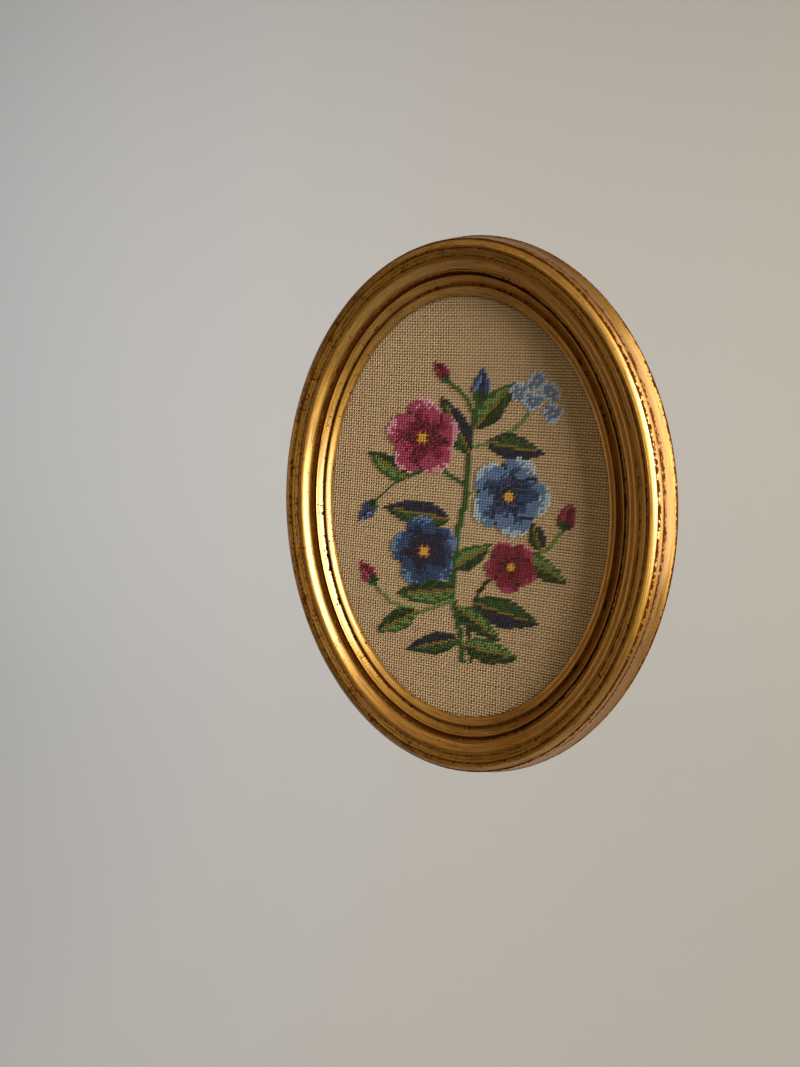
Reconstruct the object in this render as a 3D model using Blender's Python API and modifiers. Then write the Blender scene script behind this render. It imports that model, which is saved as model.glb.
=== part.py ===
# Framed embroidery: a worked canvas in an oval gilt frame that hangs on a wall.
# The picture faces -Y, its long axis is Z, and the frame's back lies in the plane Y = 0.
# The origin is where a nail takes the frame: the top of the recess in the frame's back.
# The frame is one turned ring. Its section is a profile that is turned round and then
# drawn to an oval, so that the moulding keeps one width all the way round, as oval
# turning leaves it. The canvas is a flat oval sheet in the frame's rabbet, and a thin
# board lies behind it.

import bpy
import bmesh
import math

MM = 0.001

# Sight opening: the oval of picture that the frame leaves in view
SIGHT_WIDTH = 123.0 * MM
SIGHT_HEIGHT = 175.0 * MM

# Rabbet, measured outward from the sight edge and forward from the wall
RABBET_WIDTH = 3.5 * MM
RABBET_DEPTH = 6.1 * MM

# The lip is a little rounder than the moulding: from the sight edge out to the groove
# each ring grows this much more in height than in width
LIP_EXTRA_HEIGHT = 0.9 * MM
GROOVE_OFFSET = 6.2 * MM

# Sheets in the rabbet
FIT_GAP = 0.3 * MM
CANVAS_THICKNESS = 1.2 * MM
BOARD_THICKNESS = 2.0 * MM

# How many straight steps go round the oval
TURN_STEPS = 96

HALF_WIDTH = SIGHT_WIDTH / 2
HALF_HEIGHT = SIGHT_HEIGHT / 2

# The moulding's section, from the back of the outer edge over the crown to the sight
# edge. Each row is a corner and the stretch that leads on from it:
# (mm outward from the sight edge, mm forward from the wall,
#  mm that the stretch swells, or hollows if negative, straight steps in the stretch)
SECTION = (
    (24.1, 0.0, 0.0, 1),      # outer edge, standing up from the wall
    (24.1, 1.2, 0.3, 2),      # rounded toe
    (23.1, 3.5, -0.3, 4),     # hollow outer side
    (20.7, 11.2, 0.0, 1),     # lower turned line
    (20.35, 11.5, 0.0, 1),
    (20.5, 11.9, 0.3, 3),     # band between the two lines
    (19.35, 14.9, 0.0, 1),    # upper turned line
    (18.85, 15.1, 0.0, 1),
    (18.9, 15.5, 0.2, 4),     # crown, outer half
    (16.4, 17.1, 0.1, 2),     # crown, inner half
    (14.5, 16.5, -0.1, 2),    # gentle slope inward
    (11.4, 15.4, 0.2, 3),     # shoulder, rounding over into the steep face
    (10.2, 14.3, 0.0, 1),     # steep face
    (9.2, 13.0, -0.15, 3),    # foot of the steep face, easing into the ledge
    (8.0, 12.4, 0.0, 1),      # ledge
    (7.1, 12.2, 0.0, 1),      # groove
    (6.8, 10.7, 0.0, 1),
    (6.5, 10.6, 0.0, 1),
    (6.3, 11.1, 0.12, 2),     # fillet
    (5.8, 11.0, -0.2, 4),     # hollow step down to the lip
    (3.4, 7.5, 0.0, 1),       # crease
    (3.3, 7.6, 0.05, 2),      # lip, rising
    (3.0, 8.9, 0.12, 2),      # lip's rounded back
    (2.4, 9.0, 0.06, 2),      # lip, sloping inward
    (0.8, 7.3, 0.1, 2),       # lip, turning down to the sight edge
    (0.0, 6.5, 0.0, 1),       # sight edge
)


def bowed(start, end, swell, steps):
    """Points from start towards end on a shallow arc that swells to the right, without the end."""
    run_x = end[0] - start[0]
    run_y = end[1] - start[1]
    run = math.hypot(run_x, run_y)
    points = []
    for step in range(steps):
        share = step / steps
        rise = swell * 4 * share * (1 - share)
        across = start[0] + run_x * share + run_y / run * rise
        forward = start[1] + run_y * share - run_x / run * rise
        points.append((across, forward))
    return points


def section_points():
    """The closed section of the moulding, in metres from the sight edge and the wall."""
    points = []
    for row, following in zip(SECTION, SECTION[1:]):
        points += bowed(row[:2], following[:2], row[2], row[3])
    points.append(SECTION[-1][:2])
    section = [(across * MM, forward * MM) for across, forward in points]
    section.append((0.0, RABBET_DEPTH))
    section.append((RABBET_WIDTH, RABBET_DEPTH))
    section.append((RABBET_WIDTH, 0.0))
    return section


def half_sizes(offset):
    """Half the width and half the height of the ring this far out from the sight edge."""
    half_width = HALF_WIDTH + offset
    extra = LIP_EXTRA_HEIGHT * min(offset / GROOVE_OFFSET, 1.0)
    return half_width, HALF_HEIGHT + offset + extra


# The oval's centre hangs this far below the nail
CENTRE_Z = -half_sizes(RABBET_WIDTH)[1]


def material(name, colour, roughness, metallic):
    made = bpy.data.materials.new(name)
    made.use_nodes = True
    shader = made.node_tree.nodes["Principled BSDF"]
    shader.inputs["Base Color"].default_value = (*colour, 1.0)
    shader.inputs["Roughness"].default_value = roughness
    shader.inputs["Metallic"].default_value = metallic
    return made


def place(name, mesh, collection, look):
    thing = bpy.data.objects.new(name, mesh)
    collection.objects.link(thing)
    mesh.materials.clear()
    mesh.materials.append(look)
    mesh.shade_smooth()
    mesh.set_sharp_from_angle(angle=math.radians(30))
    return thing


def turned_ring(name):
    """The section turned round the Y axis, each of its points at its radius on the long axis."""
    section = section_points()
    profile = bmesh.new()
    corners = [profile.verts.new((HALF_HEIGHT + across, -forward, 0)) for across, forward in section]
    for corner, following in zip(corners, corners[1:] + corners[:1]):
        profile.edges.new((corner, following))
    mesh = bpy.data.meshes.new(name + "_section")
    profile.to_mesh(mesh)
    profile.free()

    guide = bpy.data.objects.new(name + "_section", mesh)
    bpy.context.scene.collection.objects.link(guide)
    turn = guide.modifiers.new("turn", "SCREW")
    turn.axis = "Y"
    turn.angle = math.tau
    turn.steps = TURN_STEPS
    turn.render_steps = TURN_STEPS
    turn.use_merge_vertices = True
    turn.merge_threshold = 0.00001
    turned = bpy.data.meshes.new_from_object(
        guide.evaluated_get(bpy.context.evaluated_depsgraph_get())
    )
    bpy.data.objects.remove(guide)
    bpy.data.meshes.remove(mesh)
    return turned


def draw_to_oval(mesh):
    """Draws each turned ring to its own oval, and hangs the oval below the nail."""
    for vertex in mesh.vertices:
        radius = math.hypot(vertex.co.x, vertex.co.z)
        half_width, half_height = half_sizes(radius - HALF_HEIGHT)
        vertex.co.x *= half_width / radius
        vertex.co.z = vertex.co.z * half_height / radius + CENTRE_Z


def make_frame(collection):
    mesh = turned_ring("frame")
    draw_to_oval(mesh)
    shell = bmesh.new()
    shell.from_mesh(mesh)
    bmesh.ops.recalc_face_normals(shell, faces=shell.faces)
    shell.to_mesh(mesh)
    shell.free()
    gilding = material("gilt_wood", (0.62, 0.40, 0.13), 0.38, 0.85)
    return place("frame", mesh, collection, gilding)


def make_oval_sheet(name, thickness, front, look, collection):
    """A flat oval that fills the rabbet, its front face this far forward from the wall."""
    half_width, half_height = half_sizes(RABBET_WIDTH - FIT_GAP)
    bpy.ops.mesh.primitive_cylinder_add(
        vertices=TURN_STEPS,
        radius=1.0,
        depth=1.0,
        location=(0, 0, 0),
        rotation=(math.pi / 2, 0, 0),
    )
    disc = bpy.context.active_object
    disc.data.transform(disc.matrix_world)
    mesh = disc.data.copy()
    bpy.data.objects.remove(disc)
    for vertex in mesh.vertices:
        vertex.co.x *= half_width
        vertex.co.y = vertex.co.y * thickness - (front - thickness / 2)
        vertex.co.z = vertex.co.z * half_height + CENTRE_Z
    return place(name, mesh, collection, look)


def build():
    for thing in list(bpy.data.objects):
        bpy.data.objects.remove(thing)
    collection = bpy.data.collections.new("framed_embroidery")
    bpy.context.scene.collection.children.link(collection)

    canvas_front = RABBET_DEPTH - FIT_GAP
    board_front = canvas_front - CANVAS_THICKNESS - FIT_GAP
    linen = material("canvas", (0.42, 0.32, 0.19), 0.9, 0.0)
    card = material("backing_card", (0.20, 0.15, 0.10), 0.85, 0.0)

    make_frame(collection)
    make_oval_sheet("embroidery", CANVAS_THICKNESS, canvas_front, linen, collection)
    make_oval_sheet("backing_board", BOARD_THICKNESS, board_front, card, collection)


build()
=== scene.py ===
# Looks for an embroidered canvas in an oval gilt frame, made to hang.
# The picture faces -Y, its long axis is Z, and the frame's back lies in the plane Y = 0.
# The canvas is real threads, woven over and under, and each stitch is a thread over one
# crossing.

import math
import random

import bmesh
import bpy
from mathutils import Matrix, Vector, noise


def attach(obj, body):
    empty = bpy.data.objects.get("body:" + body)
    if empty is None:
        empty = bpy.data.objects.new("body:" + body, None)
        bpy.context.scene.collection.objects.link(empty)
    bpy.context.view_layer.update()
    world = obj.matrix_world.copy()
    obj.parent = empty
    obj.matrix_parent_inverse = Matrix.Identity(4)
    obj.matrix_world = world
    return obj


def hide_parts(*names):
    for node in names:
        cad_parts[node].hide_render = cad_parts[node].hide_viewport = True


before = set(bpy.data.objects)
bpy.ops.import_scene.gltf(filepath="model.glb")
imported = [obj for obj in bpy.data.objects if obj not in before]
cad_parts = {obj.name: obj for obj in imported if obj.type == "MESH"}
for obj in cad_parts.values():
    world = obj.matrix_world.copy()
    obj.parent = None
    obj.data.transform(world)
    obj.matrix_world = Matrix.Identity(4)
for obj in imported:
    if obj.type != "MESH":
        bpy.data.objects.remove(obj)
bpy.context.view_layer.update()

MM = 0.001

# Sizes that the part's source gives too, in mm: the sight opening, the rabbet behind it,
# and how much more in height than in width the lip grows from the sight edge to the groove
HALF_WIDTH = 61.5
HALF_HEIGHT = 87.5
RABBET_WIDTH = 3.5
RABBET_DEPTH = 6.1
LIP_EXTRA_HEIGHT = 0.9
GROOVE_OFFSET = 6.2
FIT_GAP = 0.3

# The moulding's section, from the back of the outer edge over the crown to the sight
# edge. Each row is a corner and the stretch that leads on from it:
# (mm outward from the sight edge, mm forward from the frame's back,
#  mm that the stretch swells, or hollows if negative, how much dark patina lies there)
SECTION = (
    (24.1, 0.0, 0.0, 1.1),      # outer edge, standing up from the back
    (24.1, 1.2, 0.3, 1.0),      # rounded toe
    (23.1, 3.5, -0.3, 0.1),     # hollow outer side
    (20.7, 11.2, 0.0, 0.88),    # lower turned line
    (20.35, 11.5, 0.0, 0.88),
    (20.5, 11.9, 0.3, 0.1),     # band between the two lines
    (19.35, 14.9, 0.0, 0.88),   # upper turned line
    (18.85, 15.1, 0.0, 0.88),
    (18.9, 15.5, 0.2, 0.15),    # crown, outer half
    (16.4, 17.1, 0.1, 0.2),     # crown, inner half
    (14.5, 16.5, -0.1, 0.2),    # gentle slope inward
    (11.4, 15.4, 0.1, 0.15),    # shoulder, rounding over into the steep face
    (10.2, 14.3, 0.0, 0.15),    # steep face
    (9.2, 13.0, -0.03, 0.2),    # foot of the steep face
    (8.3, 12.25, -0.02, 0.1),   # ledge
    (7.0, 12.2, 0.0, 1.0),      # groove
    (6.8, 10.7, 0.0, 1.0),
    (6.5, 10.6, 0.0, 0.8),
    (6.3, 11.1, 0.12, 0.05),    # fillet
    (5.8, 11.0, -0.2, 0.15),    # hollow step down to the lip
    (3.4, 7.5, 0.0, 0.5),       # crease
    (3.3, 7.6, 0.05, 0.5),      # lip, rising
    (3.0, 8.7, 0.12, 0.1),      # lip's rounded back
    (2.5, 8.9, 0.06, 0.1),      # lip, sloping inward
    # The last two rows make the leaf a little darker towards the sight edge
    (1.0, 7.2, -0.04, 0.2),     # lip's foot, a little flatter
    (0.0, 6.5, 0.0, 0.25),      # sight edge
)

# A point every so many mm along the section, closer where the turning tool's lines are
SAMPLE_EVERY = 0.3
FINE_SAMPLE_EVERY = 0.12
FINE_FROM = 11.4
FINE_TO = 18.9

# How many straight steps go round the oval
TURN_STEPS = 320

# Lines that the turning tool left in the slope and crown, shallow and dark with wax:
# (mm outward from the sight edge, how dark, mm wide)
TOOL_LINES = (
    (11.9, 0.3, 0.17), (12.7, 0.85, 0.26), (13.3, 0.35, 0.17), (14.1, 0.5, 0.17),
    (14.7, 0.3, 0.17), (15.4, 0.95, 0.28), (16.0, 0.35, 0.17), (16.9, 0.5, 0.17),
    (17.8, 0.3, 0.17),
)
TOOL_LINE_DEPTH = 0.03
TOOL_LINE_PATINA = 0.8
TOOLED_FROM = 11.4
TOOLED_TO = 18.3

# The ground under the leaf rises and falls by this many mm, in waves some 7 mm across the
# moulding and 13 mm along it, but not in the 2 mm next to the frame's back
UNEVENNESS = 0.06
EVEN_BACK = 2.0

# Mean radius of the moulding, in mm, by which patterns keep their scale round the oval
MEAN_RADIUS = 90

# Canvas: even-weave threads about 22 to the inch, which lie a little turned in the frame.
# Sizes are in mm
PITCH_ACROSS = 1.177
PITCH_DOWN = 1.132
UPRIGHT_WIDTH = 0.62
LEVEL_WIDTH = 0.74
THREAD_DEPTH = 0.42
THREAD_RISE = 0.09
CANVAS_MIDDLE = 5.3
CUT_MARGIN = 0.5
# More lines each way from the middle than the oval holds
LINES_EACH_WAY = 90

# A stitch, end to end: (threads from the crossing, share of its height, share of its
# thickness)
STITCH_WIDTH = 0.7
STITCH_DEPTH = 0.50
STITCH_PATH = ((-0.44, -0.1, 0.8), (-0.2, 0.95, 1.0), (0.2, 1.0, 1.0), (0.44, -0.1, 0.8))

# The sweep of pale paper behind and below the frame, in metres
PAPER_HALF_WIDTH = 4.0
PAPER_FRONT = -3.0
PAPER_BACK = 1.4
PAPER_FLOOR = -1.4
PAPER_TOP = 2.6
PAPER_BEND = 0.8


def half_sizes(offset):
    """Half the width and half the height, in mm, of the ring this far outside the sight edge."""
    extra = LIP_EXTRA_HEIGHT * min(offset / GROOVE_OFFSET, 1.0)
    return HALF_WIDTH + offset, HALF_HEIGHT + offset + extra


# The oval's centre hangs this far below the nail, and the nail is the origin
CENTRE_Z = -half_sizes(RABBET_WIDTH)[1]
SHEET_HALF_WIDTH, SHEET_HALF_HEIGHT = half_sizes(RABBET_WIDTH - FIT_GAP)


# Materials

def linear(hex_colour):
    """A colour written as sRGB hex, as the linear colour that a shader takes."""
    channels = []
    for start in (1, 3, 5):
        share = int(hex_colour[start:start + 2], 16) / 255
        if share <= 0.04045:
            channels.append(share / 12.92)
        else:
            channels.append(((share + 0.055) / 1.055) ** 2.4)
    return (*channels, 1.0)


def add_node(tree, kind, output, inputs=None, **settings):
    """Adds a shader node and gives one of its outputs. Each input takes a value, or the
    output of another node."""
    node = tree.nodes.new("ShaderNode" + kind)
    for name, value in settings.items():
        setattr(node, name, value)
    for name, value in (inputs or {}).items():
        if isinstance(value, bpy.types.NodeSocket):
            tree.links.new(value, node.inputs[name])
        else:
            node.inputs[name].default_value = value
    return node.outputs[output]


def new_material(name, **sockets):
    """A material with one Principled shader, and constants on the shader's own sockets."""
    made = bpy.data.materials.new(name)
    made.use_nodes = True
    shader = made.node_tree.nodes["Principled BSDF"]
    for socket, value in sockets.items():
        shader.inputs[socket.replace("_", " ")].default_value = value
    return made, made.node_tree, shader


# Places of the colour sockets on a Mix node, whose names are shared by other types
MIX_FIRST = 6
MIX_SECOND = 7
MIX_RESULT = 2


def drawn_out_noise(tree, place, scale, detail, roughness):
    """Noise drawn out along the ring: scales are per mm across the moulding and along it."""
    across, along = scale
    drawn = add_node(tree, "VectorMath", 0, {0: place, 1: (across, along, along)},
                     operation="MULTIPLY")
    return add_node(tree, "TexNoise", "Fac", {"Vector": drawn, "Scale": 1.0, "Detail": detail,
                                              "Roughness": roughness})


def make_gilding():
    """Rubbed and varnished gold leaf on turned wood: warm metal with brown streaks along the
    tool's lines, dark red bole bare in the grooves, and pits where the ground has chipped."""
    made, tree, shader = new_material("rubbed_gold_leaf_over_bole", Coat_Roughness=0.3,
                                      Coat_IOR=1.7, Specular_Tint=linear("#D8A454"))
    place = add_node(tree, "Attribute", "Vector", attribute_name="ring")
    patina = add_node(tree, "Attribute", "Fac", attribute_name="patina")
    spot = add_node(tree, "TexCoord", "Object")

    # Tool lines 0.2 mm apart, dark streaks 0.3 mm wide and some 12 mm long, and bands of
    # wear 1.5 mm apart
    fine = drawn_out_noise(tree, place, (4.6, 0.05), 2.0, 0.6)
    streak = drawn_out_noise(tree, place, (3.8, 0.08), 4.0, 0.62)
    wear = drawn_out_noise(tree, place, (0.7, 0.03), 2.0, 0.55)
    # Blotches about 5 mm across, ragged at the rim, and grains and specks about 1 mm across
    blotch = add_node(tree, "TexNoise", "Fac", {"Vector": spot, "Scale": 200.0,
                                                "Detail": 6.0, "Roughness": 0.72})
    grains = add_node(tree, "TexNoise", "Fac", {"Vector": spot, "Scale": 800.0,
                                                "Detail": 2.0, "Roughness": 0.6})
    speck = add_node(tree, "TexNoise", "Fac", {"Vector": spot, "Scale": 1100.0,
                                               "Detail": 2.0, "Roughness": 0.5})

    # Bole is bare where patina, blotches, wear and grains add up, a little more on the left,
    # and in pits
    side = add_node(tree, "SeparateXYZ", "Y", {0: place})
    summed = add_node(tree, "Math", 0, {0: patina, 1: -1.4}, operation="ADD")
    for value, weight in ((side, -0.0012), (blotch, 1.5), (wear, 0.5), (grains, 0.8)):
        summed = add_node(tree, "Math", 0, {0: value, 1: weight, 2: summed},
                          operation="MULTIPLY_ADD")
    rubbed_off = add_node(tree, "MapRange", 0, {"Value": summed, "From Min": 0.5,
                                                "From Max": 0.64},
                          interpolation_type="SMOOTHSTEP")
    pit = add_node(tree, "MapRange", 0, {"Value": speck, "From Min": 0.69, "From Max": 0.74},
                   interpolation_type="SMOOTHSTEP")
    bare = add_node(tree, "Math", 0, {0: rubbed_off, 1: pit}, operation="MAXIMUM")

    # Each tone lies over the last: worn leaf, fresh leaf, brown lines, dark streaks, bole
    in_lines = add_node(tree, "MapRange", 0, {"Value": fine, "From Min": 0.42,
                                              "From Max": 0.66, "To Max": 0.65},
                        interpolation_type="SMOOTHSTEP")
    in_streaks = add_node(tree, "MapRange", 0, {"Value": streak, "From Min": 0.53,
                                                "From Max": 0.62, "To Max": 0.7},
                          interpolation_type="SMOOTHSTEP")
    colour = linear("#A8741C")
    for share, tone in ((wear, "#DCAE46"), (in_lines, "#683A0A"), (in_streaks, "#52280A"),
                        (bare, "#482206")):
        colour = add_node(tree, "Mix", MIX_RESULT,
                          {0: share, MIX_FIRST: colour, MIX_SECOND: linear(tone)},
                          data_type="RGBA")
    tree.links.new(colour, shader.inputs["Base Color"])

    # Bole is dull and has lost the varnish: (socket, its value on leaf, its value on bole)
    for socket, on_leaf, on_bole in (("Metallic", 1.0, 0.4), ("Roughness", 0.45, 0.65),
                                     ("Specular IOR Level", 0.5, 0.05),
                                     ("Coat Weight", 0.9, 0.0)):
        value = add_node(tree, "MapRange", 0, {"Value": bare, "To Min": on_leaf,
                                               "To Max": on_bole},
                         interpolation_type="SMOOTHSTEP")
        tree.links.new(value, shader.inputs[socket])

    ridges = add_node(tree, "Bump", 0, {"Height": fine, "Strength": 0.5,
                                        "Distance": 0.05 * MM})
    sunk = add_node(tree, "Bump", 0, {"Height": bare, "Strength": 0.6,
                                      "Distance": -0.06 * MM, "Normal": ridges})
    tree.links.new(sunk, shader.inputs["Normal"])
    return made


def make_bare_wood():
    """Stained wood on the frame's back and in its rabbet: matt, with grain along Z."""
    made, tree, shader = new_material("stained_beech", Roughness=0.72)
    spot = add_node(tree, "TexCoord", "Object")
    # Grain 0.8 mm wide and 15 mm long
    along = add_node(tree, "Mapping", 0, {"Vector": spot, "Scale": (1200, 1200, 65)})
    grain = add_node(tree, "TexNoise", "Fac", {"Vector": along, "Scale": 1.0, "Detail": 5.0,
                                               "Roughness": 0.6})
    colour = add_node(tree, "Mix", MIX_RESULT, {0: grain, MIX_FIRST: linear("#4A2E18"),
                                                MIX_SECOND: linear("#8A6238")},
                      data_type="RGBA")
    tree.links.new(colour, shader.inputs["Base Color"])
    bump = add_node(tree, "Bump", 0, {"Height": grain, "Strength": 0.4,
                                      "Distance": 0.1 * MM})
    tree.links.new(bump, shader.inputs["Normal"])
    return made


def make_card():
    """Brown pasteboard: matt, with short fibres and a few rubbed places. Its brown is kept dark,
    as painted shade in the canvas's holes.
    """
    made, tree, shader = new_material("pasteboard_darkened_as_painted_shade", Roughness=0.9)
    spot = add_node(tree, "TexCoord", "Object")
    # Fibres 0.6 mm long, and stains some 30 mm across
    fibres = add_node(tree, "TexNoise", "Fac", {"Vector": spot, "Scale": 1600.0,
                                                "Detail": 4.0, "Roughness": 0.7})
    stains = add_node(tree, "TexNoise", "Fac", {"Vector": spot, "Scale": 35.0,
                                                "Detail": 4.0, "Roughness": 0.6})
    # A dark brown that also stands in for the shade in the canvas's holes: painted shade
    colour = linear("#3E2E1C")
    for share, tone in ((stains, "#5C4830"), (fibres, "#302214")):
        colour = add_node(tree, "Mix", MIX_RESULT,
                          {0: share, MIX_FIRST: colour, MIX_SECOND: linear(tone)},
                          data_type="RGBA")
    tree.links.new(colour, shader.inputs["Base Color"])
    bump = add_node(tree, "Bump", 0, {"Height": fibres, "Strength": 0.3,
                                      "Distance": 0.1 * MM})
    tree.links.new(bump, shader.inputs["Normal"])
    return made


def make_thread(name, dark, light, sheen):
    """Spun cotton: matt, a soft sheen from loose fibres, and tone that drifts along a thread."""
    made, tree, shader = new_material(name, Roughness=0.85, Specular_IOR_Level=0.25,
                                      Sheen_Weight=sheen, Sheen_Roughness=0.5)
    spot = add_node(tree, "TexCoord", "Object")
    # The tone drifts every 1.4 mm or so
    drift = add_node(tree, "TexNoise", "Fac", {"Vector": spot, "Scale": 700.0,
                                               "Detail": 3.0, "Roughness": 0.7})
    colour = add_node(tree, "Mix", MIX_RESULT, {0: drift, MIX_FIRST: linear(dark),
                                                MIX_SECOND: linear(light)},
                      data_type="RGBA")
    tree.links.new(colour, shader.inputs["Base Color"])
    # The twist of the plies, a ridge for about every 1.3 mm of thread
    twist = add_node(tree, "TexWave", "Fac", {"Vector": spot, "Scale": 500.0,
                                              "Distortion": 2.0, "Detail": 1.0},
                     bands_direction="DIAGONAL")
    bump = add_node(tree, "Bump", 0, {"Height": twist, "Strength": 0.35,
                                      "Distance": 0.08 * MM})
    tree.links.new(bump, shader.inputs["Normal"])
    return made


# The gilt frame

def bowed(start, end, swell):
    """Points from start towards end on a shallow arc that swells to the right, without the
    end. The patina of the end gathers only near it."""
    run_x = end[0] - start[0]
    run_y = end[1] - start[1]
    run = math.hypot(run_x, run_y)
    fine = FINE_FROM <= min(start[0], end[0]) and max(start[0], end[0]) <= FINE_TO
    spacing = FINE_SAMPLE_EVERY if fine else SAMPLE_EVERY
    steps = max(1, round(run / spacing))
    points = []
    for step in range(steps):
        share = step / steps
        rise = swell * 4 * share * (1 - share)
        points.append((
            start[0] + run_x * share + run_y / run * rise,
            start[1] + run_y * share - run_x / run * rise,
            start[3] + (end[3] - start[3]) * share ** 2,
        ))
    return points


def rubbed(points):
    """Softens the corners of the section, as the gilder's ground and rubbing do."""
    softened = [points[0]]
    for before, here, after in zip(points, points[1:], points[2:]):
        softened.append(tuple((a + 2 * b + c) / 4 for a, b, c in zip(before, here, after)))
    softened.append(points[-1])
    return softened


def gilt_section():
    """The section in mm: (outward, forward, patina) from the back over the crown to the lip."""
    points = []
    for row, following in zip(SECTION, SECTION[1:]):
        points += bowed(row, following, row[2])
    points.append((SECTION[-1][0], SECTION[-1][1], SECTION[-1][3]))
    points = rubbed(points)
    lined = []
    for across, forward, patina in points:
        if TOOLED_FROM < across < TOOLED_TO:
            for line, darkness, width in TOOL_LINES:
                share = darkness * math.exp(-((across - line) / width) ** 2)
                forward -= TOOL_LINE_DEPTH * share
                patina += TOOL_LINE_PATINA * share
        lined.append((across, forward, patina))
    return lined


def make_gilt_frame():
    section = gilt_section()
    wooden = [(0.0, RABBET_DEPTH, 1.0), (RABBET_WIDTH, RABBET_DEPTH, 1.0),
              (RABBET_WIDTH, 0.0, 1.0)]
    shell = bmesh.new()
    ring = shell.verts.layers.float_vector.new("ring")
    patina_layer = shell.verts.layers.float.new("patina")
    corners = []
    along = 0.0
    last = None
    for across, forward, patina in section + wooden:
        if last:
            along += math.dist(last, (across, forward))
        last = (across, forward)
        corner = shell.verts.new((HALF_HEIGHT + across, -forward, 0))
        corner[ring] = (along, 0, 0)
        corner[patina_layer] = patina
        corners.append(corner)
    gilt_length = sum(math.dist(a[:2], b[:2]) for a, b in zip(section, section[1:]))
    for corner, following in zip(corners, corners[1:] + corners[:1]):
        shell.edges.new((corner, following))
    bmesh.ops.spin(shell, geom=shell.verts[:] + shell.edges[:], cent=(0, 0, 0),
                   axis=(0, 1, 0), dvec=(0, 0, 0), angle=math.tau, steps=TURN_STEPS,
                   use_merge=True)
    for face in shell.faces:
        face.smooth = True
        on_wood = max(corner[ring].x for corner in face.verts) > gilt_length + 0.01
        face.material_index = 1 if on_wood else 0
    for corner in shell.verts:
        radius = math.hypot(corner.co.x, corner.co.z)
        turn_x = corner.co.x / radius
        turn_z = corner.co.z / radius
        half_width, half_height = half_sizes(radius - HALF_HEIGHT)
        uneven = 0.0
        if corner.co.y < -EVEN_BACK:
            uneven = UNEVENNESS * noise.noise(Vector((radius * 0.15, turn_x * 7, turn_z * 7)))
        corner.co = Vector((
            half_width * turn_x * MM,
            (corner.co.y + uneven) * MM,
            (half_height * turn_z + CENTRE_Z) * MM,
        ))
        corner[ring] = (corner[ring].x, MEAN_RADIUS * turn_x, MEAN_RADIUS * turn_z)
    bmesh.ops.recalc_face_normals(shell, faces=shell.faces)
    mesh = bpy.data.meshes.new("gilt_frame")
    shell.to_mesh(mesh)
    shell.free()
    mesh.materials.append(make_gilding())
    mesh.materials.append(make_bare_wood())
    mesh.set_sharp_from_angle(angle=math.radians(50))
    thing = bpy.data.objects.new("gilt_frame", mesh)
    bpy.context.scene.collection.objects.link(thing)
    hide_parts("frame")
    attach(thing, "root")


# The canvas and its stitches

# Where the canvas's bow is given, in mm above or below its middle and to its sides
FAR_UP = 90
FAR_ACROSS = 60


def pulled(across, up):
    """Where a place of the weave, in mm from its middle, lies once the canvas is in the frame.
    At the middle the upright threads lean 7.1 degrees and the level threads drop 6.4. Far up
    or down the lean is about 5.7 degrees less, and far to the sides the drop is 1.4 more."""
    degree = math.radians(1)
    lean = degree * (7.1 * up - 5.7 * up ** 3 / (3 * FAR_UP ** 2) - up ** 2 / (2 * FAR_UP))
    drop = degree * (6.4 * across + 1.4 * across ** 3 / (3 * FAR_ACROSS ** 2)
                     + 0.7 * up * across / FAR_UP
                     - 1.35 * across ** 2 * up / (3 * FAR_ACROSS ** 2))
    return across + lean, up - drop


def on_sheet(x, z):
    """Whether a place lies inside the oval that the canvas was cut to."""
    share_x = x / (SHEET_HALF_WIDTH - CUT_MARGIN)
    share_z = z / (SHEET_HALF_HEIGHT - CUT_MARGIN)
    return math.hypot(share_x, share_z) < 1


def thread_curve(name, width, depth, materials):
    """A curve that holds round threads. They are made this much too deep, and pressed later."""
    curve = bpy.data.curves.new(name, "CURVE")
    for look in materials:
        curve.materials.append(look)
    curve.dimensions = "3D"
    curve.bevel_depth = width / 2 * MM
    curve.bevel_resolution = 1
    curve.use_fill_caps = True
    return curve, width / depth


def add_thread(curve, points, material_index=0):
    """One thread through points of (x, forward, z, thickness share), in mm."""
    spline = curve.splines.new("POLY")
    spline.points.add(len(points) - 1)
    for point, (x, forward, z, share) in zip(spline.points, points):
        point.co = (x * MM, -forward * MM, z * MM, 1)
        point.radius = share
    spline.material_index = material_index
    spline.use_smooth = True


def threads_to_piece(name, curve, press):
    """Turns the curve into a mesh, pressed flat towards the canvas's middle and hung in place."""
    guide = bpy.data.objects.new(name, curve)
    bpy.context.scene.collection.objects.link(guide)
    mesh = bpy.data.meshes.new_from_object(
        guide.evaluated_get(bpy.context.evaluated_depsgraph_get())
    )
    bpy.data.objects.remove(guide)
    mesh.name = name
    capped = bmesh.new()
    capped.from_mesh(mesh)
    bmesh.ops.remove_doubles(capped, verts=capped.verts, dist=0.000001)
    capped.to_mesh(mesh)
    capped.free()
    mesh.transform(Matrix.Diagonal((1, 1 / press, 1, 1)))
    mesh.transform(Matrix.Translation((0, -CANVAS_MIDDLE * MM, CENTRE_Z * MM)))
    thing = bpy.data.objects.new(name, mesh)
    bpy.context.scene.collection.objects.link(thing)
    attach(thing, "root")
    return thing


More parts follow.
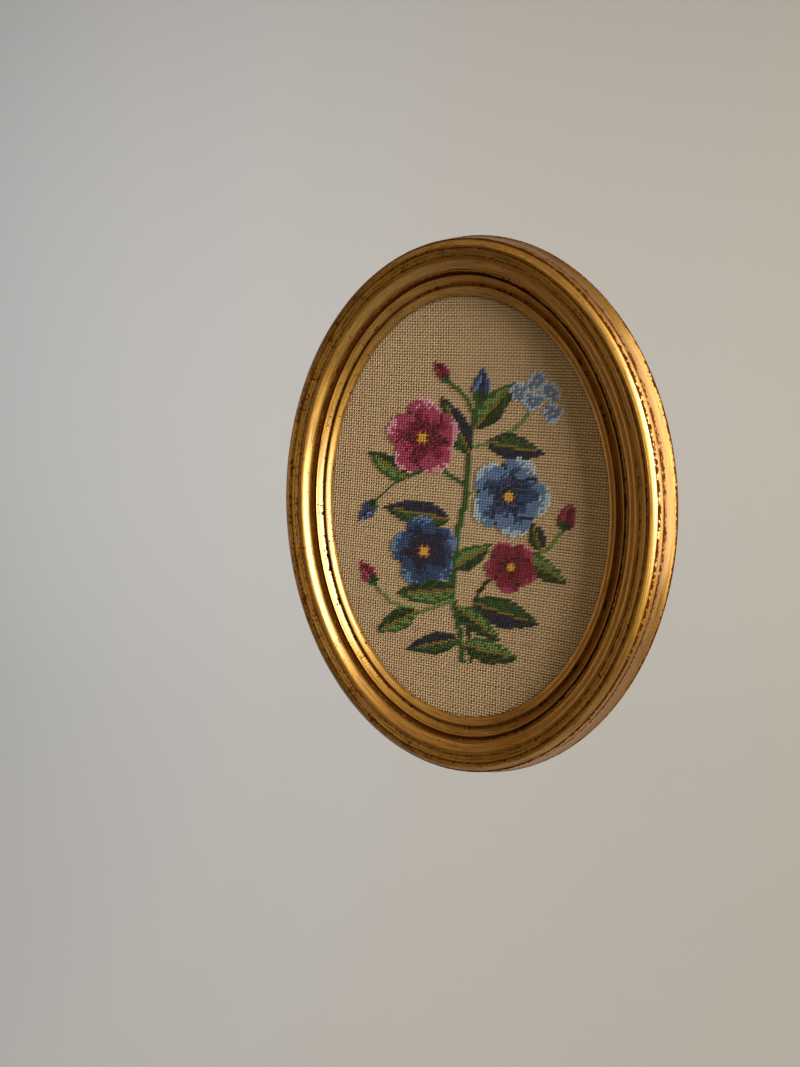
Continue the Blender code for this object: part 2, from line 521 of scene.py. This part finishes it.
def woven(name, upright, look):
    """All the threads that run one way, each over and under those that run the other way."""
    chance = random.Random(name)
    width = UPRIGHT_WIDTH if upright else LEVEL_WIDTH
    curve, press = thread_curve(name, width, THREAD_DEPTH, [look])
    wave = THREAD_RISE * press
    for line in range(-LINES_EACH_WAY, LINES_EACH_WAY + 1):
        stray = chance.uniform(-0.05, 0.05)
        plump = chance.uniform(0.9, 1.1)
        points = []
        for step in range(-LINES_EACH_WAY, LINES_EACH_WAY + 1):
            if upright:
                x, z = pulled((line + stray) * PITCH_ACROSS, step * PITCH_DOWN)
            else:
                x, z = pulled(step * PITCH_ACROSS, (line + stray) * PITCH_DOWN)
            over = (line + step) % 2 == (0 if upright else 1)
            if on_sheet(x, z):
                points.append((x, wave if over else -wave, z, plump * chance.uniform(0.93, 1.07)))
        if len(points) > 1:
            add_thread(curve, points)
    return threads_to_piece(name, curve, press)


# The spray: five-petalled blossoms, buds and leaves, charted stitch by stitch

FIFTH = math.tau / 5


def paint_stem(chart, path, wide, shade):
    """A line of stitches this wide through the path's points."""
    for start, end in zip(path, path[1:]):
        steps = math.ceil(math.dist(start, end) * 3)
        for step in range(steps + 1):
            x = start[0] + (end[0] - start[0]) * step / steps
            y = start[1] + (end[1] - start[1]) * step / steps
            for column in range(math.ceil(x - wide / 2), math.floor(x + wide / 2) + 1):
                chart[column, round(y)] = shade


def paint_leaf(chart, base, tip, wide, shades):
    """A pointed leaf: one half light, the other dark, with a midrib and side veins."""
    dark, middle, light, rib = shades
    length = math.dist(base, tip)
    along_x = (tip[0] - base[0]) / length
    along_y = (tip[1] - base[1]) / length
    reach = math.ceil(length)
    for column in range(round(base[0]) - reach, round(base[0]) + reach + 1):
        for row in range(round(base[1]) - reach, round(base[1]) + reach + 1):
            off_x = column - base[0]
            off_y = row - base[1]
            along = (off_x * along_x + off_y * along_y) / length
            aside = off_y * along_x - off_x * along_y
            if not 0 <= along <= 1:
                continue
            edge = wide / 2 * math.sin(math.pi * along ** 0.8) ** 0.8
            if abs(aside) > edge:
                continue
            vein = (along * length + abs(aside) * 1.3) % 5 < 1.1
            if abs(aside) < 0.55 and along < 0.85:
                shade = rib
            elif aside > 0:
                shade = middle if vein or aside > edge - 1 else light
            else:
                shade = middle if vein else dark
            chart[column, row] = shade


def paint_blossom(chart, middle, size, turn, shades):
    """An open blossom of five round petals that overlap, pale at the rim, dark at the heart."""
    deep, dark, bright, pale = shades
    for petal in range(5):
        angle = turn + petal * FIFTH
        out_x = math.cos(angle)
        out_y = math.sin(angle)
        reach = math.ceil(size) + 2
        for column in range(round(middle[0]) - reach, round(middle[0]) + reach + 1):
            for row in range(round(middle[1]) - reach, round(middle[1]) + reach + 1):
                off_x = column - middle[0]
                off_y = row - middle[1]
                outward = (off_x * out_x + off_y * out_y) / size
                aside = (off_y * out_x - off_x * out_y) / size
                round_it = math.hypot((outward - 0.50) / 0.50, aside / 0.47)
                mottle = 0.16 * noise.noise(Vector((column * 0.7, row * 0.7, size + petal)))
                mottle += 0.16 * noise.noise(Vector((column * 3.1, row * 3.1, petal)))
                if round_it > 1 + 1.1 / size:
                    continue
                if round_it > 1:
                    # The shadow that a petal casts on those it overlaps
                    if (column, row) in chart and chart[column, row] in shades and petal:
                        chart[column, row] = deep
                    continue
                # Bands of shade from the heart out to the rim
                lit = outward + mottle - 0.22 * aside
                if lit < 0.34 and round(aside * size) % 2 == 0:
                    shade = deep
                elif lit < 0.48:
                    shade = dark
                elif lit < 0.70:
                    shade = bright if round_it > 0.55 or aside < 0 else dark
                elif lit < 0.84:
                    shade = bright
                else:
                    shade = pale
                chart[column, row] = shade
    for column in range(round(middle[0]) - 4, round(middle[0]) + 5):
        for row in range(round(middle[1]) - 4, round(middle[1]) + 5):
            distance = math.dist((column, row), middle)
            if distance < size * 0.11 + 0.3:
                chart[column, row] = "gold"
            elif distance < size * 0.17 + 0.3:
                chart[column, row] = "orange" if (column + row) % 2 else deep


def paint_bud(chart, base, tip, wide, shades):
    """A closed bud in its cup of sepals."""
    deep, dark, bright, _ = shades
    paint_leaf(chart, base, tip, wide, (dark, dark, bright, deep))
    cup = (base[0] + (tip[0] - base[0]) * 0.4, base[1] + (tip[1] - base[1]) * 0.4)
    paint_leaf(chart, base, cup, wide * 0.8, ("fir", "leaf", "leaf", "fir"))


BLUES = ("navy", "deep_blue", "mid_blue", "pale_blue")
CRIMSONS = ("burgundy", "crimson", "rose", "pink")
PLUMS = ("burgundy", "crimson", "crimson", "rose")
NIGHT_BLUES = ("navy", "navy", "deep_blue", "mid_blue")
LEAF_GREENS = ("fir", "leaf", "moss", "olive")
DARK_GREENS = ("navy", "fir", "leaf", "olive")


def charted_spray():
    """The chart of the spray: a shade for each thread crossing (column, row) from the middle."""
    chart = {}
    paint_stem(chart, [(5, -56), (3, -44), (-1, -30), (-1, -12), (2, 6), (1, 24), (4, 40)],
               2.0, "leaf")
    paint_stem(chart, [(8, -56), (6, -42), (9, -30), (16, -20), (24, -14)], 1.2, "fir")
    paint_stem(chart, [(0, -34), (-12, -40), (-24, -38), (-32, -32)], 1.2, "moss")
    paint_stem(chart, [(2, 8), (-8, 14), (-16, 20)], 1.2, "leaf")
    paint_stem(chart, [(1, 22), (12, 26), (20, 32), (24, 40)], 1.2, "moss")
    paint_stem(chart, [(-14, 14), (-26, 8), (-34, 0)], 1.0, "leaf")
    paint_stem(chart, [(20, -16), (32, -12), (37, -4)], 1.0, "moss")
    paint_stem(chart, [(3, 34), (-2, 42), (-8, 46)], 1.0, "leaf")

    paint_leaf(chart, (3, -48), (-17, -55), 8, DARK_GREENS)
    paint_leaf(chart, (5, -50), (25, -52), 9, LEAF_GREENS)
    paint_leaf(chart, (-14, -40), (-30, -50), 8, LEAF_GREENS)
    paint_leaf(chart, (8, -34), (31, -38), 11, DARK_GREENS)
    paint_leaf(chart, (1, -36), (18, -46), 8, LEAF_GREENS)
    paint_leaf(chart, (0, -30), (-22, -34), 10, LEAF_GREENS)
    paint_leaf(chart, (-1, -22), (12, -12), 8, LEAF_GREENS)
    paint_leaf(chart, (-4, -4), (-30, -2), 10, DARK_GREENS)
    paint_leaf(chart, (-22, 10), (-38, 18), 8, LEAF_GREENS)
    paint_leaf(chart, (2, 20), (-10, 40), 9, DARK_GREENS)
    paint_leaf(chart, (8, 25), (28, 22), 9, DARK_GREENS)
    paint_leaf(chart, (3, 30), (16, 46), 9, LEAF_GREENS)
    paint_leaf(chart, (22, -14), (40, -22), 8, LEAF_GREENS)
    paint_leaf(chart, (30, -12), (26, -2), 6, DARK_GREENS)

    paint_bud(chart, (-32, -32), (-38, -24), 6, CRIMSONS)
    paint_bud(chart, (-34, 0), (-40, -8), 6, BLUES)
    paint_bud(chart, (37, -4), (39, 6), 6, CRIMSONS)
    paint_bud(chart, (4, 39), (5, 51), 7, BLUES)
    paint_bud(chart, (-8, 46), (-13, 53), 5, CRIMSONS)

    paint_blossom(chart, (20, -19), 9.5, 0.9, PLUMS)
    paint_blossom(chart, (-13, -17), 13.5, 0.55, NIGHT_BLUES)
    paint_blossom(chart, (17, 6), 14.5, 1.25, BLUES)
    paint_blossom(chart, (-17, 25), 14.5, 0.35, CRIMSONS)
    for middle in ((23, 40), (29, 43), (30, 36), (24, 47), (18, 43)):
        paint_blossom(chart, middle, 3.6, 0.3 * middle[0], ("mid_blue", "mid_blue",
                                                            "pale_blue", "pale_blue"))
    return chart


# Stranded cotton for the stitches: name, darker and lighter tone, by the piece they go to
STITCH_SHADES = {
    "blue_stitches": {
        "navy": ("#0A1430", "#18264C"),
        "deep_blue": ("#1E3862", "#33568A"),
        "mid_blue": ("#4A70A0", "#7096C0"),
        "pale_blue": ("#93AFC8", "#C4D6E4"),
    },
    "crimson_stitches": {
        "burgundy": ("#360618", "#521026"),
        "crimson": ("#6E1030", "#942444"),
        "rose": ("#982E54", "#BA5078"),
        "pink": ("#C4829A", "#E2B0BE"),
    },
    "green_stitches": {
        "fir": ("#0C2414", "#1A3E24"),
        "leaf": ("#1C4820", "#326832"),
        "moss": ("#587A3C", "#7C9C58"),
        "olive": ("#6A5C22", "#8E7C3C"),
    },
    "gold_stitches": {
        "gold": ("#C89A30", "#ECC860"),
        "orange": ("#A04C10", "#CC7420"),
    },
}


def make_stitches(name, chart, shades):
    """Tent stitches: each rises from the hole below a crossing, lies over it on the slant and
    goes down in the hole above."""
    chance = random.Random(name)
    names = list(shades)
    looks = [make_thread(f"stranded_cotton_{shade}", *shades[shade], 0.04) for shade in names]
    curve, press = thread_curve(name, STITCH_WIDTH, STITCH_DEPTH, looks)
    top = (THREAD_RISE + THREAD_DEPTH / 2 + STITCH_DEPTH / 4) * press
    for (column, row), shade in sorted(chart.items()):
        if shade not in shades:
            continue
        plump = chance.uniform(0.92, 1.06)
        points = []
        for share, height, thickness in STITCH_PATH:
            x, z = pulled((column + share + chance.uniform(-0.03, 0.03)) * PITCH_ACROSS,
                          (row + share + chance.uniform(-0.03, 0.03)) * PITCH_DOWN)
            points.append((x, top * height, z, thickness * plump))
        add_thread(curve, points, names.index(shade))
    return threads_to_piece(name, curve, press)


def make_canvas():
    """The cloth is the upright and the level threads together with the stitches on them."""
    # The upright and level threads are one unbleached cotton: the level threads' lighter tones
    # are painted light on their tops, and the upright threads' darker tones are painted shade
    warp = woven("canvas_warp", True,
                 make_thread("unbleached_cotton_warp_darker_as_painted_shade", "#9E8460", "#CEB48E", 0.1))
    weft = woven("canvas_weft", False,
                 make_thread("unbleached_cotton_weft_lighter_as_painted_light", "#AE946E", "#E0CAA6", 0.2))
    chart = charted_spray()
    stitches = [make_stitches(name, chart, shades) for name, shades in STITCH_SHADES.items()]
    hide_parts("embroidery")


def dress_board():
    """The board keeps its solid and gets the look of card."""
    card = make_card()
    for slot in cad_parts["backing_board"].material_slots:
        slot.material = card


# The room

def make_stage():
    """A pale floor that sweeps up into a pale backdrop, well away from the frame."""
    sweep = bmesh.new()
    front = sweep.verts.new((-PAPER_HALF_WIDTH, PAPER_FRONT, PAPER_FLOOR))
    bend = sweep.verts.new((-PAPER_HALF_WIDTH, PAPER_BACK, PAPER_FLOOR))
    top = sweep.verts.new((-PAPER_HALF_WIDTH, PAPER_BACK, PAPER_TOP))
    sweep.edges.new((front, bend))
    sweep.edges.new((bend, top))
    bmesh.ops.bevel(sweep, geom=[bend], offset=PAPER_BEND, segments=16, profile=0.5,
                    affect="VERTICES", material=-1)
    drawn = bmesh.ops.extrude_edge_only(sweep, edges=sweep.edges[:])
    far = [part for part in drawn["geom"] if isinstance(part, bmesh.types.BMVert)]
    bmesh.ops.translate(sweep, verts=far, vec=(2 * PAPER_HALF_WIDTH, 0, 0))
    bmesh.ops.recalc_face_normals(sweep, faces=sweep.faces)
    for face in sweep.faces:
        face.smooth = True
    mesh = bpy.data.meshes.new("backdrop")
    sweep.to_mesh(mesh)
    sweep.free()
    paper = new_material("pale_backdrop_paper", Roughness=0.95,
                         Base_Color=linear("#CCCCC8"))[0]
    mesh.materials.append(paper)
    backdrop = bpy.data.objects.new("backdrop", mesh)
    bpy.context.scene.collection.objects.link(backdrop)


def add_light(name, place, aim, width, height, watts, colour):
    """A soft light from a rectangle that faces its aim."""
    light = bpy.data.lights.new(name, "AREA")
    light.shape = "RECTANGLE"
    light.size = width
    light.size_y = height
    light.energy = watts
    light.color = linear(colour)[:3]
    thing = bpy.data.objects.new(name, light)
    thing.location = place
    thing.rotation_euler = (Vector(aim) - Vector(place)).to_track_quat("-Z", "Y").to_euler()
    bpy.context.scene.collection.objects.link(thing)


def light_room():
    middle = Vector((0, 0, CENTRE_Z * MM))
    # A tall window on the right, close to the picture's plane, that grazes the canvas
    add_light("window", middle + Vector((1.25, -0.33, 0.22)), middle, 0.5, 0.96, 32, "#FFF8EE")
    # The dim glow of the room in front, from above and from the left
    add_light("room", middle + Vector((0.5, -1.25, 0.6)), middle, 2.0, 1.8, 3.2, "#FFE8CC")
    add_light("ceiling", middle + Vector((0, -0.5, 1.35)), middle, 2.4, 1.6, 5.0, "#FFE0B0")
    add_light("left_glow", middle + Vector((-1.25, -0.3, 0.1)), middle, 0.9, 0.9, 2.2,
              "#FFE0B0")
    # A glow from behind on the right, which shines in the frame's outer side
    right_side = Vector((0.085, -0.005, CENTRE_Z * MM))
    add_light("side_glow", middle + Vector((0.5, 0.30, 0.1)), right_side, 0.3, 0.6, 1.8,
              "#FFF0CC")
    # An even light on the backdrop alone
    add_light("backdrop_light", (-1.8, 0.1, 0.35), (-1.8, PAPER_BACK, 0.35), 2.4, 3.0, 24,
              "#EEF3FF")
    world = bpy.data.worlds.new("dim_room")
    world.use_nodes = True
    air = world.node_tree.nodes["Background"]
    air.inputs["Color"].default_value = linear("#B08C54")
    air.inputs["Strength"].default_value = 0.14
    bpy.context.scene.world = world
    bpy.context.scene.view_settings.view_transform = "Standard"


# The photograph's camera: its place and aim in metres, and its roll in degrees
CAMERA_PLACE = Vector((0.1248, -0.3167, -0.0827))
CAMERA_AIM = Vector((-0.0259, -0.0114, -0.1010))
CAMERA_ROLL = -2.1


def make_camera():
    view = bpy.data.cameras.new("camera")
    view.sensor_fit = "HORIZONTAL"
    view.sensor_width = 36
    view.lens = 36.05
    view.clip_start = 0.01
    camera = bpy.data.objects.new("camera", view)
    facing = (CAMERA_AIM - CAMERA_PLACE).to_track_quat("-Z", "Y").to_matrix().to_4x4()
    roll = Matrix.Rotation(math.radians(CAMERA_ROLL), 4, "Z")
    camera.matrix_world = Matrix.Translation(CAMERA_PLACE) @ facing @ roll
    bpy.context.scene.collection.objects.link(camera)
    bpy.context.scene.camera = camera


make_camera()
make_gilt_frame()
make_canvas()
dress_board()
make_stage()
light_room()
